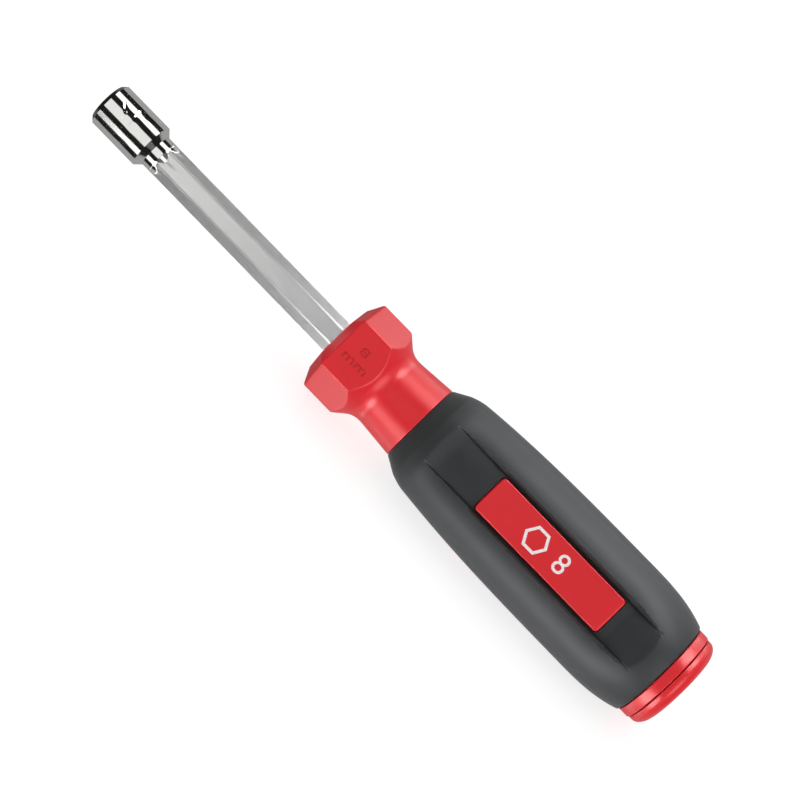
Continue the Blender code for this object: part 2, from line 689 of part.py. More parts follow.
def main():
    clear_scene()
    assembly = Assembly()
    chrome = plastic_or_metal("polished_chrome", (0.78, 0.78, 0.77), 0.08, 1.0)
    steel = plastic_or_metal("satin_plated_steel", (0.62, 0.62, 0.60), 0.32, 1.0)
    ferrite = plastic_or_metal("nickel_plated_magnet", (0.50, 0.50, 0.49), 0.30, 1.0)
    zinc = plastic_or_metal("zinc_plated_washer", (0.58, 0.59, 0.60), 0.35, 1.0)
    nylon = plastic_or_metal("natural_nylon", (0.72, 0.70, 0.64), 0.50)
    red = plastic_or_metal("red_plastic", (0.62, 0.02, 0.03), 0.33)
    rubber = plastic_or_metal("black_soft_grip", (0.03, 0.03, 0.032), 0.55)
    make_socket(assembly, chrome)
    make_magnet(assembly, ferrite, zinc)
    make_shaft(assembly, steel)
    make_inner_core(assembly, nylon)
    make_handle_body(assembly, red)
    make_grip(assembly, rubber)
    make_end_cap(assembly, red)
    lay_down(assembly)


main()
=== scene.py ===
"""Looks of the nut driver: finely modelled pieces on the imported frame, their materials, light and camera."""

import math

import bmesh
import bpy
import numpy as np
from mathutils import Matrix, Vector


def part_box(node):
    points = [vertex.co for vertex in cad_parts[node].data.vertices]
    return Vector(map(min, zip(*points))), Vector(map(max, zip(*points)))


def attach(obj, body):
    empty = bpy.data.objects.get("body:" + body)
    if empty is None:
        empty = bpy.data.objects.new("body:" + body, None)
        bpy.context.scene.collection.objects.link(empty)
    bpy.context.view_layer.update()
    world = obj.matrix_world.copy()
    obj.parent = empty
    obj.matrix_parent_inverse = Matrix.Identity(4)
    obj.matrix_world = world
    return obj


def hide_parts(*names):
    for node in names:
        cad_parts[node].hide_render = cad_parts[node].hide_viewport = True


MM = 0.001
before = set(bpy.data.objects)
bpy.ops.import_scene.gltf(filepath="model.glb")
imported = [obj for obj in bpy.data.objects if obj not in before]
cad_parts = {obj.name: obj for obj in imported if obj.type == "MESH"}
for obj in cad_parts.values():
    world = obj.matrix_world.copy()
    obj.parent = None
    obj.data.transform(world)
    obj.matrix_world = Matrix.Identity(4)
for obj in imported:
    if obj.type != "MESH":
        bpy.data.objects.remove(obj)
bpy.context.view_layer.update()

# Where the tool lies: its axis runs along world X at this height, from the socket's mouth
MOUTH_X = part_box("socket")[0].x
AXIS_Z = (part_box("end_cap")[0].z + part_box("end_cap")[1].z) / 2
# Tool space has Z along the tool from the mouth and +X down, through the middle of one label channel.
# A START, an END and a MIDDLE below is a height along that Z, and a RADIUS is measured from the axis.
TOOL_TO_WORLD = Matrix(((0, 0, 1, MOUTH_X), (0, 1, 0, 0), (-1, 0, 0, AXIS_Z), (0, 0, 0, 1)))

# Room between two pieces that are bonded on the real tool
SEAT_GAP = 0.3 * MM

# Socket
NUT_FLAT = 4.05 * MM
MOUTH_CHAMFER = 0.3 * MM
MOUTH_RADIUS = 4.75 * MM
NOSE_RADIUS = 4.92 * MM
NOSE_FILLET = 0.15 * MM
NOSE_LENGTH = 1.0 * MM
SOCKET_RADIUS = 5.9 * MM
SOCKET_LENGTH = 16.7 * MM
SOCKET_CONE_START = 14.42 * MM
SOCKET_CONE_END = 15.98 * MM
SOCKET_REAR_RADIUS = 4.36 * MM
SOCKET_SEAT_RADIUS = 4.2 * MM
HEX_CAVITY_END = 12.4 * MM
CRIMP_START = 7.4 * MM
CRIMP_LEAD_IN = 1.6 * MM
CRIMP_END = 11.4 * MM
CRIMP_LEAD_OUT = 1.8 * MM
CRIMP_DEPTH = 0.014 * MM
# Only rings wider than this carry the crimp and the marks
MARKED_RADIUS = 5.8 * MM
# Scratches and one dent: turn in degrees and height, turn and height again, depth and half width, in mm
SOCKET_MARKS = (
    (214.0, 4.0, 229.0, 5.7, 0.065, 0.36),
    (203.0, 7.6, 226.0, 8.3, 0.045, 0.34),
    (196.0, 8.5, 200.0, 9.9, 0.03, 0.42))

# Shaft: a hexagonal bar, turned to a collar behind the socket and to a spigot inside it
SPIGOT_RADIUS = 3.4 * MM
SPIGOT_START = 12.1 * MM
SPIGOT_END = 16.75 * MM
SHAFT_SEAT_RADIUS = 4.25 * MM
SHAFT_FLAT = 3.87 * MM
SHAFT_EDGE = 1.1 * MM
SHAFT_BORE = 2.7 * MM
COLLAR_RADIUS = 4.32 * MM
COLLAR_START = 16.0 * MM
COLLAR_END = 18.4 * MM
COLLAR_RUNOUT = 1.7 * MM
RUNOUT_SLOPE = 0.27
TANG_END = 168.2 * MM

# Red moulding: hexagonal bolster, cone, neck, and the body under the grip
BOLSTER_START = 76.2 * MM
BOLSTER_RIM = 5.2 * MM
BOLSTER_FACE = 7.85 * MM
BOLSTER_CROWN = 0.45 * MM
BOLSTER_CORNER = 13.35 * MM
HOLE_CHAMFER = 0.25 * MM
VALLEY_FLAT = 11.2 * MM
LOBE_FLAT = 11.65 * MM
FLAT_START = 78.6 * MM
FLAT_END = 87.15 * MM
CONE_END = 90.05 * MM
CONE_RADIUS = 10.9 * MM
NECK_START = 94.45 * MM
NECK_RADIUS = 9.68 * MM
NECK_END = 103.6 * MM
NECK_REAR = 10.41 * MM
GRIP_SEAT_RADIUS = 8.8 * MM
UNDER_GRIP = 10.3 * MM
CORE_CAVITY_START = 80.2 * MM
CORE_CAVITY = 7.6 * MM
RING_START = 182.35 * MM
RING_END = 184.95 * MM
RING_RADIUS = 12.9 * MM
RECESS_START = 179.05 * MM
RECESS_RADIUS = 9.3 * MM
# Sunk size mark on one flat: its place and cut, then text, letter height, widening and place across the flat
MARK_MIDDLE = 83.9 * MM
MARK_CUT = 0.9 * MM
MARK_TEXTS = (("8", 2.8 * MM, 1.8, 1.75 * MM), ("mm", 3.1 * MM, 1.55, -1.45 * MM))

# Grip
GRIP_START = 103.65 * MM
GRIP_LENGTH = 78.4 * MM
GRIP_MOUTH_RADIUS = 9.1 * MM
GRIP_END_EDGE = 0.3 * MM
BAND_LENGTH = 4.0 * MM
BAND_RADIUS = 12.65 * MM
SHOULDER_LENGTH = 4.2 * MM
SHOULDER_RADIUS = 13.76 * MM
SHOULDER_ENTRY = 0.66
BELLY_RADIUS = 15.5 * MM
TAIL_LENGTH = 18.4 * MM
TAIL_RADIUS = 13.3 * MM
LOBE_HEIGHT = 1.0 * MM
LOBE_LEAD_IN = 14.0 * MM
CHANNEL_FLOOR = 12.25 * MM
CHANNEL_HALF_WIDTH = 5.7 * MM
CHANNEL_CROWN = 24.0 * MM
CHANNEL_LEAD_IN = 5.0 * MM
CHANNEL_DESCENT = 6.0 * MM
CHANNEL_STEP = 0.8 * MM
CHANNEL_RUNOUT = 64.0 * MM
CHANNEL_RISE = 0.25
WALL_TURN = math.radians(0.375)
PAST_WALL_TURN = math.radians(3)
CREASE_DEPTH = 0.16 * MM
CREASE_TURN = math.radians(1.1)
WINDOW_BOTTOM = 9.5 * MM
WINDOW_TOP = 16.5 * MM

# Label pads and their print: a plain hexagon beside the nut size
PAD_LENGTH = 39.2 * MM
PAD_WIDTH = 9.9 * MM
PAD_CORNER = 0.9 * MM
PAD_EDGE = 0.4 * MM
PAD_ROOT = 0.8 * MM
PAD_TOP = 12.7 * MM
PAD_MIDDLE = 145.65 * MM
PRINT_THICKNESS = 0.03 * MM
PRINT_LIFT = 0.014 * MM
DIGIT_HEIGHT = 7.0 * MM
DIGIT_PLACE = 3.2 * MM
HEXAGON_PLACE = -4.6 * MM
HEXAGON_OUTER = 3.4 * MM
HEXAGON_INNER = 2.6 * MM

# End cap
CAP_START = 185.25 * MM
CAP_END = 188.75 * MM
CAP_RADIUS = 12.6 * MM
CAP_BAND = 0.8 * MM
CAP_FACE = 8.6 * MM
CAP_ROOF = 2.4 * MM
PLUG_LENGTH = 5.2 * MM
PLUG_RADIUS = 9.0 * MM
PLUG_BORE = 7.4 * MM

VALLEYS = [math.radians(120 * index) for index in range(3)]
CAMERA_VALLEY = VALLEYS[2]


def angle_grid(coarse, finer, centres):
    """Angles once round, in steps of degrees, closer together within each reach of the given centres."""
    angles, angle = [], 0.0
    while angle < 360 - 1e-6:
        angles.append(angle)
        near = min(abs((angle - centre + 180) % 360 - 180) for centre in centres)
        step = min([coarse] + [fine for reach, fine in finer if near < reach - 1e-6])
        angle = round(angle + step, 6)
    return np.radians(angles)


EVEN = np.radians(np.arange(360.0))
CORNERS = angle_grid(1.5, [(4.5, 0.25)], range(30, 360, 60))
CHANNEL_EDGES = angle_grid(
    1.5, [(6.0, 0.5), (1.75, 0.125)], [valley + side for valley in (0, 120, 240) for side in (-26, 26)])


# ---------------------------------------------------------------- meshes

def mesh_object(name, mesh, material):
    """A named piece in world coordinates that rides on the tool and takes one finish."""
    piece = bpy.data.objects.new(name, mesh)
    bpy.context.scene.collection.objects.link(piece)
    mesh.materials.append(material)
    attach(piece, "root")
    return piece


def finish_mesh(name, shape, sharp_degrees=40.0):
    """Weld, orient and shade a bmesh, and move it from tool space to the world."""
    bmesh.ops.remove_doubles(shape, verts=shape.verts, dist=0.0005 * MM)
    bmesh.ops.recalc_face_normals(shape, faces=shape.faces)
    mesh = bpy.data.meshes.new(name)
    shape.to_mesh(mesh)
    shape.free()
    mesh.transform(TOOL_TO_WORLD)
    mesh.shade_smooth()
    mesh.set_sharp_from_angle(angle=math.radians(sharp_degrees))
    return mesh


def join_rows(shape, rows):
    """Faces between each row of points and the next, once round."""
    for lower, upper in zip(rows, rows[1:]):
        for index in range(len(lower)):
            following = (index + 1) % len(lower)
            shape.faces.new((lower[index], lower[following], upper[following], upper[index]))


def skin(name, rings, angles=EVEN, looped=True, sharp_degrees=40.0):
    """Skin rings of (radius, height), each a number or one value per angle, into a closed piece."""
    shape = bmesh.new()
    rows = []
    for radius, height in rings:
        radii = np.broadcast_to(radius, angles.shape)
        heights = np.broadcast_to(height, angles.shape)
        rows.append([
            shape.verts.new((r * math.cos(a), r * math.sin(a), z))
            for r, z, a in zip(radii, heights, angles)])
    join_rows(shape, rows + rows[:1] if looped else rows)
    return finish_mesh(name, shape, sharp_degrees)


def rounded(points, steps=6):
    """Points of (radius, height, fillet) as a line whose corners are rounded."""
    line = []
    for index, (radius, height, fillet) in enumerate(points):
        here = Vector((radius, height))
        if fillet <= 0 or index in (0, len(points) - 1):
            line.append(tuple(here))
            continue
        before = Vector(points[index - 1][:2]) - here
        after = Vector(points[index + 1][:2]) - here
        half = before.angle(after) / 2
        reach = min(fillet / math.tan(half), 0.48 * before.length, 0.48 * after.length)
        start, end = here + before.normalized() * reach, here + after.normalized() * reach
        for step in range(steps + 1):
            share = step / steps
            line.append(tuple(
                start * (1 - share) ** 2 + here * 2 * share * (1 - share) + end * share ** 2))
    return line


def resampled(line, spacing):
    """The same line with no two points further apart than the spacing."""
    dense = [line[0]]
    for (r0, z0), (r1, z1) in zip(line, line[1:]):
        count = max(1, math.ceil(math.hypot(r1 - r0, z1 - z0) / spacing))
        for index in range(1, count + 1):
            share = index / count
            dense.append((r0 + (r1 - r0) * share, z0 + (z1 - z0) * share))
    return dense


def soft_min(a, b, blend):
    """The smaller of two, with the crossing rounded off."""
    share = np.clip(0.5 + 0.5 * (b - a) / blend, 0, 1)
    return b + (a - b) * share - blend * share * (1 - share)


def soft_max(a, b, blend):
    """The larger of two, with the crossing rounded off."""
    return -soft_min(-np.asarray(a), -np.asarray(b), blend)


def smooth_step(value):
    """From 0 to 1 as the value goes from 0 to 1, level at both ends."""
    value = np.clip(value, 0.0, 1.0)
    return value * value * (3 - 2 * value)


def hermite(share, start, end, start_slope, end_slope, span):
    """Cubic from a start to an end with a slope at each, over a span."""
    square, cube = share * share, share ** 3
    return (
        (2 * cube - 3 * square + 1) * start + (cube - 2 * square + share) * span * start_slope
        + (3 * square - 2 * cube) * end + (cube - square) * span * end_slope)


def hexagon_radius(flat, edge=0.0, angles=EVEN):
    """Radius at each angle of a hexagon with flats towards the valleys and rounded edges."""
    off_flat = np.abs((angles + math.pi / 6) % (math.pi / 3) - math.pi / 6)
    radius = flat / np.cos(off_flat)
    if edge:
        centre = (flat - edge) / math.cos(math.pi / 6)
        tangent = math.atan((flat - edge) * math.tan(math.pi / 6) / flat)
        off_corner = math.pi / 6 - off_flat
        arc = centre * np.cos(off_corner) + np.sqrt(
            np.maximum(edge ** 2 - (centre * np.sin(off_corner)) ** 2, 0))
        radius = np.where(off_flat > tangent, arc, radius)
    return radius


# ---------------------------------------------------------------- shader nodes

class Nodes:
    """Short spelling for building a node tree."""

    def __init__(self, owner):
        owner.use_nodes = True
        self.tree = owner.node_tree
        self.tree.nodes.clear()

    def add(self, kind, inputs=(), **settings):
        node = self.tree.nodes.new(kind)
        for key, value in settings.items():
            setattr(node, key, value)
        for key, value in dict(inputs).items():
            self.feed(node.inputs[key], value)
        return node

    def feed(self, socket, value):
        """Link an output to a socket, or write a plain value on it."""
        if isinstance(value, bpy.types.NodeSocket):
            self.tree.links.new(value, socket)
        else:
            socket.default_value = value

    def math(self, operation, first, second=0.0):
        node = self.add("ShaderNodeMath", {0: first, 1: second}, operation=operation)
        return node.outputs[0]

    def product(self, first, *others):
        for other in others:
            first = self.math("MULTIPLY", first, other)
        return first

    def span(self, value, low, high, to_low=0.0, to_high=1.0, kind="SMOOTHSTEP"):
        """From one value to another as the input goes from low to high."""
        return self.add("ShaderNodeMapRange", {
            "Value": value, "From Min": low, "From Max": high, "To Min": to_low, "To Max": to_high},
            interpolation_type=kind).outputs["Result"]

    def dot(self, vector, direction):
        node = self.add("ShaderNodeVectorMath", {0: vector, 1: direction}, operation="DOT_PRODUCT")
        return node.outputs["Value"]

    def noise(self, coordinates, scale, detail=4.0, roughness=0.55):
        return self.add("ShaderNodeTexNoise", {
            "Vector": coordinates, "Scale": scale, "Detail": detail, "Roughness": roughness}).outputs["Fac"]

    def stretched(self, factors):
        """Object coordinates in millimetres, scaled along each axis."""
        place = self.add("ShaderNodeTexCoord").outputs["Object"]
        scale = [factor / MM for factor in factors]
        return self.add("ShaderNodeMapping", {"Vector": place, "Scale": scale}).outputs[0]

    def mixed(self, factor, first, second):
        """A colour between two."""
        return self.add("ShaderNodeMix", {0: factor, 6: first, 7: second}, data_type="RGBA").outputs[2]

    def chosen(self, factor, first, second):
        """The first number where the factor is 0, the second where it is 1."""
        return self.add("ShaderNodeMix", {0: factor, 2: first, 3: second}).outputs[0]

    def bump(self, height, strength, distance):
        return self.add("ShaderNodeBump", {
            "Height": height, "Strength": strength, "Distance": distance}).outputs["Normal"]


def principled(name, build):
    """A material whose Principled inputs come from a function of its nodes."""
    material = bpy.data.materials.new(name)
    nodes = Nodes(material)
    shader = nodes.add("ShaderNodeBsdfPrincipled")
    for key, value in build(nodes).items():
        nodes.feed(shader.inputs[key], value)
    nodes.add("ShaderNodeOutputMaterial", {"Surface": shader.outputs["BSDF"]})
    return material


def red_plastic_look(nodes):
    fine = nodes.noise(nodes.stretched((4.0, 4.0, 4.0)), 1.0, 3.0)
    broad = nodes.noise(nodes.stretched((0.12, 0.12, 0.12)), 1.0, 2.0)
    return {
        "Base Color": nodes.mixed(broad, (0.68, 0.0006, 0.007, 1), (0.74, 0.0020, 0.010, 1)),
        "Roughness": nodes.span(fine, 0.3, 0.7, 0.30, 0.38, "LINEAR"),
        "IOR": 1.54,
        "Sheen Weight": 0.06,
        "Sheen Roughness": 0.5,
        "Sheen Tint": (1.0, 0.97, 0.97, 1),
        "Normal": nodes.bump(fine, 0.10, 0.02 * MM)}


def rubber_look(nodes):
    grain = nodes.noise(nodes.stretched((5.0, 5.0, 5.0)), 1.0, 2.0, 0.6)
    broad = nodes.noise(nodes.stretched((0.15, 0.15, 0.15)), 1.0, 3.0)
    return {
        "Base Color": nodes.mixed(broad, (0.0055, 0.0059, 0.0057, 1), (0.009, 0.0096, 0.0094, 1)),
        "Roughness": nodes.span(grain, 0.3, 0.7, 0.46, 0.56, "LINEAR"),
        "IOR": 1.49,
        "Specular Tint": (0.92, 0.95, 1.0, 1),
        "Sheen Weight": 0.15,
        "Sheen Roughness": 0.5,
        "Sheen Tint": (0.95, 0.97, 1.0, 1),
        "Normal": nodes.bump(grain, 0.20, 0.03 * MM)}


def chrome_look(nodes):
    smudge = nodes.noise(nodes.stretched((0.3, 0.3, 0.3)), 1.0, 3.0)
    turning = nodes.noise(nodes.stretched((14.0, 0.05, 0.05)), 1.0, 2.0)
    return {
        "Base Color": (0.93, 0.93, 0.90, 1),
        "Metallic": 1.0,
        "Roughness": nodes.span(smudge, 0.35, 0.7, 0.05, 0.10, "LINEAR"),
        "Normal": nodes.bump(turning, 0.04, 0.005 * MM)}


def satin_look(nodes):
    """Drawn bar: grain along the tool, and highlights that spread round it."""
    drawn = nodes.noise(nodes.stretched((0.2, 7.0, 7.0)), 1.0, 2.0)
    grain = nodes.noise(nodes.stretched((2.0, 6.0, 6.0)), 1.0, 3.0)
    return {
        "Base Color": nodes.mixed(grain, (0.86, 0.86, 0.855, 1), (0.93, 0.93, 0.92, 1)),
        "Metallic": 1.0,
        "Roughness": nodes.span(grain, 0.3, 0.7, 0.20, 0.25, "LINEAR"),
        "Anisotropic": 1.0,
        "Tangent": nodes.add("ShaderNodeTangent", direction_type="RADIAL", axis="X").outputs[0],
        "Normal": nodes.bump(drawn, 0.35, 0.02 * MM)}


def plain_metal_look(colour, low, high):
    def build(nodes):
        grain = nodes.noise(nodes.stretched((3.0, 3.0, 3.0)), 1.0, 3.0)
        return {
            "Base Color": colour,
            "Metallic": 1.0,
            "Roughness": nodes.span(grain, 0.3, 0.7, low, high, "LINEAR"),
            "Normal": nodes.bump(grain, 0.15, 0.01 * MM)}
    return build


def nylon_look(nodes):
    flow = nodes.noise(nodes.stretched((0.2, 1.2, 1.2)), 1.0, 3.0)
    return {
        "Base Color": nodes.mixed(flow, (0.66, 0.64, 0.57, 1), (0.76, 0.74, 0.68, 1)),
        "Roughness": nodes.span(flow, 0.3, 0.7, 0.45, 0.55, "LINEAR"),
        "Normal": nodes.bump(flow, 0.1, 0.02 * MM)}


def print_look(nodes):
    speck = nodes.noise(nodes.stretched((3.0, 3.0, 3.0)), 1.0, 3.0)
    cover = nodes.span(speck, 0.35, 0.6)
    return {
        "Base Color": nodes.mixed(cover, (0.80, 0.70, 0.70, 1), (0.88, 0.86, 0.85, 1)),
        "Roughness": nodes.span(speck, 0.3, 0.7, 0.40, 0.5, "LINEAR"),
        "Normal": nodes.bump(speck, 0.05, 0.01 * MM)}


RED = principled("red_moulded_plastic", red_plastic_look)
RUBBER = principled("black_soft_rubber", rubber_look)
CHROME = principled("polished_chrome_plate", chrome_look)
SATIN = principled("satin_plated_bar", satin_look)
PRINT = principled("white_pad_print", print_look)


# ---------------------------------------------------------------- pieces

def socket_relief(z):
    """How far the socket's outside is pressed in at each angle: a faint hexagonal crimp and old knocks."""
    off_flat = (EVEN - CAMERA_VALLEY + math.pi / 6) % (math.pi / 3) - math.pi / 6
    crimp = smooth_step((z - CRIMP_START) / CRIMP_LEAD_IN) * smooth_step((CRIMP_END - z) / CRIMP_LEAD_OUT)
    depth = crimp * CRIMP_DEPTH * (1 + np.cos(6 * off_flat))
    for turn_0, z_0, turn_1, z_1, deep, wide in SOCKET_MARKS:
        start = np.array((math.radians(turn_0) * SOCKET_RADIUS, z_0 * MM))
        end = np.array((math.radians(turn_1) * SOCKET_RADIUS, z_1 * MM))
        length = np.linalg.norm(end - start)
        along = (end - start) / length
        around = np.stack((EVEN * SOCKET_RADIUS, np.full(EVEN.shape, z)), axis=1) - start
        reach = np.clip(around @ along, 0, length)
        distance = np.linalg.norm(around - reach[:, None] * along, axis=1)
        depth = depth + deep * MM * np.exp(-(distance / (wide * MM)) ** 2)
    return depth


def make_socket():
    cavity = hexagon_radius(NUT_FLAT)
    mouth = NUT_FLAT + MOUTH_CHAMFER
    outside = rounded([
        (SOCKET_SEAT_RADIUS, SOCKET_LENGTH, 0),
        (SOCKET_SEAT_RADIUS, SOCKET_CONE_END, 0),
        (SOCKET_REAR_RADIUS, SOCKET_CONE_END, 0),
        (SOCKET_RADIUS, SOCKET_CONE_START, 0),
        (SOCKET_RADIUS, NOSE_LENGTH, 0),
        (NOSE_RADIUS, 0, NOSE_FILLET),
        (MOUTH_RADIUS, 0, 0)], steps=8)
    rings = [(SPIGOT_RADIUS + SEAT_GAP, SOCKET_LENGTH)]
    for radius, height in resampled(outside, 0.12 * MM):
        rings.append((radius - socket_relief(height) if radius > MARKED_RADIUS else radius, height))
    reach = np.maximum(mouth - cavity, 0)
    rings += [
        (np.maximum(cavity, mouth), 0 * EVEN),
        (cavity, reach),
        (cavity, reach + 0.1 * MM),
        (cavity, 4 * MM),
        (cavity, HEX_CAVITY_END),
        (SPIGOT_RADIUS + SEAT_GAP, HEX_CAVITY_END)]
    mesh = skin("socket_shell", rings, sharp_degrees=30)
    piece = mesh_object("socket_shell", mesh, CHROME)
    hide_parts("socket")


def make_shaft():
    bar = hexagon_radius(SHAFT_FLAT, SHAFT_EDGE)
    rings = [
        (SHAFT_BORE, TANG_END),
        (SHAFT_BORE, SPIGOT_START),
        (SPIGOT_RADIUS, SPIGOT_START),
        (SPIGOT_RADIUS, SPIGOT_END),
        (SHAFT_SEAT_RADIUS, SPIGOT_END),
        (SHAFT_SEAT_RADIUS, COLLAR_START)]
    rings += [(COLLAR_RADIUS, COLLAR_START + lift * MM) for lift in (0, 0.03, 0.06, 0.1, 0.3, 0.5)]
    # The collar's cone runs out over the hexagon's flats, so that it ends in a point on each of them
    for height in np.linspace(COLLAR_START + 0.6 * MM, COLLAR_END + COLLAR_RUNOUT, 90):
        cone = soft_min(COLLAR_RADIUS, COLLAR_RADIUS - RUNOUT_SLOPE * (height - COLLAR_END), 0.005 * MM)
        into_bar = smooth_step((height - COLLAR_END + 0.4 * MM) / (0.6 * MM))
        flats = COLLAR_RADIUS + (bar - COLLAR_RADIUS) * into_bar
        rings.append((soft_max(cone, np.minimum(flats, bar), 0.03 * MM), height))
    for height in (24 * MM, 40 * MM, 60 * MM, BOLSTER_START, TANG_END):
        rings.append((bar, height))
    mesh = skin("hollow_hex_shaft", rings, sharp_degrees=12)
    piece = mesh_object("hollow_hex_shaft", mesh, SATIN)
    # What was turned on the bar is polished: the collar, and behind it what stands above the flats
    mesh.materials.append(CHROME)
    for face in mesh.polygons:
        height, across, drop = face.center.x - MOUTH_X, face.center.y, AXIS_Z - face.center.z
        flat = np.interp(math.atan2(across, drop) % math.tau, EVEN, bar)
        turned = height < COLLAR_END or math.hypot(across, drop) > flat + 0.025 * MM
        if turned and COLLAR_START - 0.1 * MM < height < COLLAR_END + 2 * MM:
            face.material_index = 1
    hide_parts("hex_shaft")


def facet_radius(blend=0.5 * MM):
    """Radius at each angle of the bolster's six flats, nearer in the valleys than on the lobes."""
    radius = None
    for index in range(6):
        distance = VALLEY_FLAT if index % 2 == 0 else LOBE_FLAT
        cosine = np.cos(CORNERS - math.pi / 3 * index)
        flat = np.where(cosine > 0.3, distance / np.maximum(cosine, 0.3), 1.0)
        radius = flat if radius is None else soft_min(radius, flat, blend)
    return radius


def make_handle_body():
    hole = hexagon_radius(SHAFT_FLAT + SEAT_GAP, angles=CORNERS)
    facets = facet_radius()
    rear_slope = -(BOLSTER_CORNER - CONE_RADIUS) / (CONE_END - FLAT_END)
    neck_slope = (NECK_REAR - NECK_RADIUS) / (NECK_END - NECK_START)
    front = resampled(rounded([
        (BOLSTER_RIM, BOLSTER_START + BOLSTER_CROWN * 0.3, 0),
        (BOLSTER_FACE, BOLSTER_START + BOLSTER_CROWN, 0.5 * MM),
        (VALLEY_FLAT, FLAT_START, 0.9 * MM),
        (VALLEY_FLAT, FLAT_START + 1.5 * MM, 0)], steps=8), 0.15 * MM)
    rear = rounded([
        (BOLSTER_CORNER, FLAT_START + 1.6 * MM, 0),
        (BOLSTER_CORNER, FLAT_END, 0.5 * MM),
        (CONE_RADIUS, CONE_END, 0)], steps=8)
    for share in np.linspace(0, 1, 22)[1:]:
        length = NECK_START - CONE_END
        radius = hermite(share, CONE_RADIUS, NECK_RADIUS, rear_slope, neck_slope, length)
        rear.append((radius, CONE_END + length * share))
    rings = [
        (hole, CORE_CAVITY_START),
        (hole, BOLSTER_START + 0.1 * MM + HOLE_CHAMFER),
        (hole + HOLE_CHAMFER, BOLSTER_START + 0.1 * MM)]
    rings += [(facets * (radius / VALLEY_FLAT), height) for radius, height in front]
    rings += [
        (soft_min(np.full(CORNERS.shape, radius), facets, 0.3 * MM), height)
        for radius, height in resampled(rear, 0.2 * MM)]
    rings += rounded([
        (NECK_RADIUS, NECK_START + 0.1 * MM, 0),
        (NECK_REAR, NECK_END, 0.2 * MM),
        (GRIP_SEAT_RADIUS, NECK_END, 0),
        (UNDER_GRIP, GRIP_START + BAND_LENGTH, 0),
        (UNDER_GRIP, RING_START, 0),
        (RING_RADIUS, RING_START, 0.2 * MM),
        (RING_RADIUS, RING_END, 0.2 * MM),
        (RECESS_RADIUS, RING_END, 0),
        (RECESS_RADIUS, RECESS_START, 0),
        (CORE_CAVITY, RECESS_START, 0),
        (CORE_CAVITY, CORE_CAVITY_START, 0)])
    mesh = skin("handle_moulding", rings, CORNERS, sharp_degrees=50)
    piece = mesh_object("handle_moulding", mesh, RED)
    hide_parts("handle_body")
    return piece


def grip_outline(z):
    """Half the grip's width in side view, at a height above its front end."""
    shoulder, belly = BAND_LENGTH + SHOULDER_LENGTH, GRIP_LENGTH - TAIL_LENGTH
    swell = BELLY_RADIUS - SHOULDER_RADIUS
    band_rise = (BAND_RADIUS - NECK_REAR) / BAND_LENGTH
    if z <= BAND_LENGTH:
        return NECK_REAR + band_rise * z
    if z <= shoulder:
        return hermite(
            (z - BAND_LENGTH) / SHOULDER_LENGTH, BAND_RADIUS, SHOULDER_RADIUS, SHOULDER_ENTRY * band_rise,
            3 * swell / (belly - shoulder), SHOULDER_LENGTH)
    if z <= belly:
        return BELLY_RADIUS - swell * ((belly - z) / (belly - shoulder)) ** 3
    return BELLY_RADIUS - (BELLY_RADIUS - TAIL_RADIUS) * ((z - belly) / TAIL_LENGTH) ** 3


def grip_radius(z):
    """Radius of the grip's outside at each angle: three lobes, less the three label channels."""
    lobe = LOBE_HEIGHT * smooth_step(z / LOBE_LEAD_IN)
    if z > GRIP_LENGTH - TAIL_LENGTH:
        lobe = lobe * smooth_step((GRIP_LENGTH - z) / TAIL_LENGTH)
    half_width = grip_outline(z)
    mean = half_width - (3 * lobe) ** 2 / (2 * half_width)
    outside = mean - lobe * np.cos(3 * CHANNEL_EDGES)
    floor = CHANNEL_FLOOR + max(0.0, z - CHANNEL_RUNOUT) * CHANNEL_RISE
    floor += CHANNEL_STEP * (1 - smooth_step((z - CHANNEL_LEAD_IN) / CHANNEL_DESCENT))
    edge = math.atan(CHANNEL_HALF_WIDTH / (floor - CHANNEL_HALF_WIDTH ** 2 / (2 * CHANNEL_CROWN)))
    radius = outside
    for valley in VALLEYS:
        turn = (CHANNEL_EDGES - valley + math.pi) % math.tau - math.pi
        cosine, sine = np.maximum(np.cos(turn), 0.6), np.abs(np.sin(turn))
        # The crowned floor is found by going round from a flat one, since its drop depends on its radius
        crowned = floor / cosine
        for _ in range(6):
            crowned = (floor - (crowned * sine) ** 2 / (2 * CHANNEL_CROWN)) / cosine
        past_edge = np.abs(turn) - edge
        crease = CREASE_DEPTH * np.exp(-(past_edge / CREASE_TURN) ** 2)
        channel = np.where(past_edge < PAST_WALL_TURN, crowned - crease, outside)
        channel = soft_min(outside, channel, 0.05 * MM)
        past_wall = np.clip(past_edge / WALL_TURN + 0.5, 0, 1)
        radius = np.minimum(radius, channel + (outside - channel) * past_wall)
    return radius


